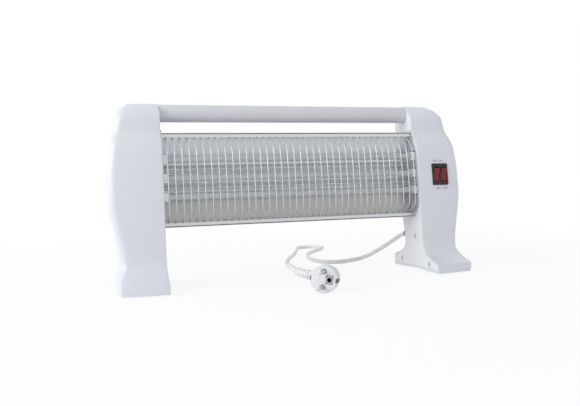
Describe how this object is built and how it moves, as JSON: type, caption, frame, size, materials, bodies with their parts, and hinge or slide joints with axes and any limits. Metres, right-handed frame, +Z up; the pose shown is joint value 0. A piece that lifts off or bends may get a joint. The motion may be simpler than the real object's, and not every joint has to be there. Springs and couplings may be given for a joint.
{
  "type": "space heater",
  "caption": "Quartz radiant floor heater with splayed end housings, a bowed wire guard over a polished reflector, a round carrying handle, a rocker switch and a mains cord.",
  "frame": {"origin": "on the floor under the middle of the heater, without its free cord", "axes": "+X along the heater towards the switch end, -Y towards the front, +Z up"},
  "size_m": [0.514, 0.559, 0.25],
  "materials": {
    "housing_plastic": "satin off-white moulding",
    "cover_plastic": "off-white moulding, slightly duller",
    "pad_rubber": "dark grey non-slip rubber",
    "polished_steel": "mirror-polished steel sheet",
    "casing_steel": "plain galvanised sheet",
    "guard_wire": "bright plated wire",
    "quartz": "milky quartz glass",
    "resistance_wire": "oxidised resistance wire",
    "cap_ceramic": "white unglazed ceramic",
    "zinc_steel": "zinc-plated steel",
    "terminal_brass": "plain brass",
    "switch_black": "black moulding",
    "rocker_red": "dark red translucent moulding",
    "lead_insulation": "woven glass sleeving",
    "cord_grey": "grey PVC",
    "plug_plastic": "off-white PVC",
    "pin_steel": "nickel-plated brass",
    "nylon": "natural nylon"
  },
  "bodies": {
    "heater": {"cord_bush": "cord_grey", "cord_clamp": "nylon", "handle_tube": "housing_plastic", "heating_coil_1": "resistance_wire", "heating_coil_2": "resistance_wire", "heating_coil_3": "resistance_wire", "held_cord": "cord_grey", "left_bus_strip": "terminal_brass", "left_cap_retainer": "zinc_steel", "left_end_plate": "polished_steel", "left_front_pad": "pad_rubber", "left_handle_plug": "nylon", "left_handle_screw": "zinc_steel", "left_inner_cover": "cover_plastic", "left_outer_shell": "housing_plastic", "left_rear_pad": "pad_rubber", "left_tube_cap_1": "cap_ceramic", "left_tube_cap_2": "cap_ceramic", "left_tube_cap_3": "cap_ceramic", "left_tube_terminal_1": "terminal_brass", "left_tube_terminal_2": "terminal_brass", "left_tube_terminal_3": "terminal_brass", "lower_tubes_lead": "lead_insulation", "mains_cord": "cord_grey", "plug_body": "plug_plastic", "plug_boot": "plug_plastic", "plug_earth_strap": "pin_steel", "plug_lower_pin": "pin_steel", "plug_upper_pin": "pin_steel", "quartz_tube_1": "quartz", "quartz_tube_2": "quartz", "quartz_tube_3": "quartz", "rear_casing": "casing_steel", "reflector": "polished_steel", "return_lead": "lead_insulation", "right_cap_retainer": "zinc_steel", "right_end_plate": "polished_steel", "right_front_pad": "pad_rubber", "right_handle_plug": "nylon", "right_handle_screw": "zinc_steel", "right_inner_cover": "cover_plastic", "right_link_strip": "terminal_brass", "right_outer_shell": "housing_plastic", "right_rear_pad": "pad_rubber", "right_tube_cap_1": "cap_ceramic", "right_tube_cap_2": "cap_ceramic", "right_tube_cap_3": "cap_ceramic", "right_tube_terminal_1": "terminal_brass", "right_tube_terminal_2": "terminal_brass", "right_tube_terminal_3": "terminal_brass", "supply_lead": "lead_insulation", "switch_bezel": "switch_black", "switch_body": "switch_black", "terminal_block": "nylon", "upper_tube_lead": "lead_insulation", "wire_guard": "guard_wire"},
    "left_rocker": {"rocker_left": "rocker_red"},
    "right_rocker": {"rocker_right": "rocker_red"}
  },
  "joints": [
    {"name": "left_rocker_tilt", "type": "hinge", "parent": "heater", "child": "left_rocker", "pos_m": [0.2154, -0.01589, 0.14268], "axis": [-1, 0, 0], "range_deg": [0, 20]},
    {"name": "right_rocker_tilt", "type": "hinge", "parent": "heater", "child": "right_rocker", "pos_m": [0.2272, -0.01589, 0.14268], "axis": [-1, 0, 0], "range_deg": [0, 20]}
  ]
}
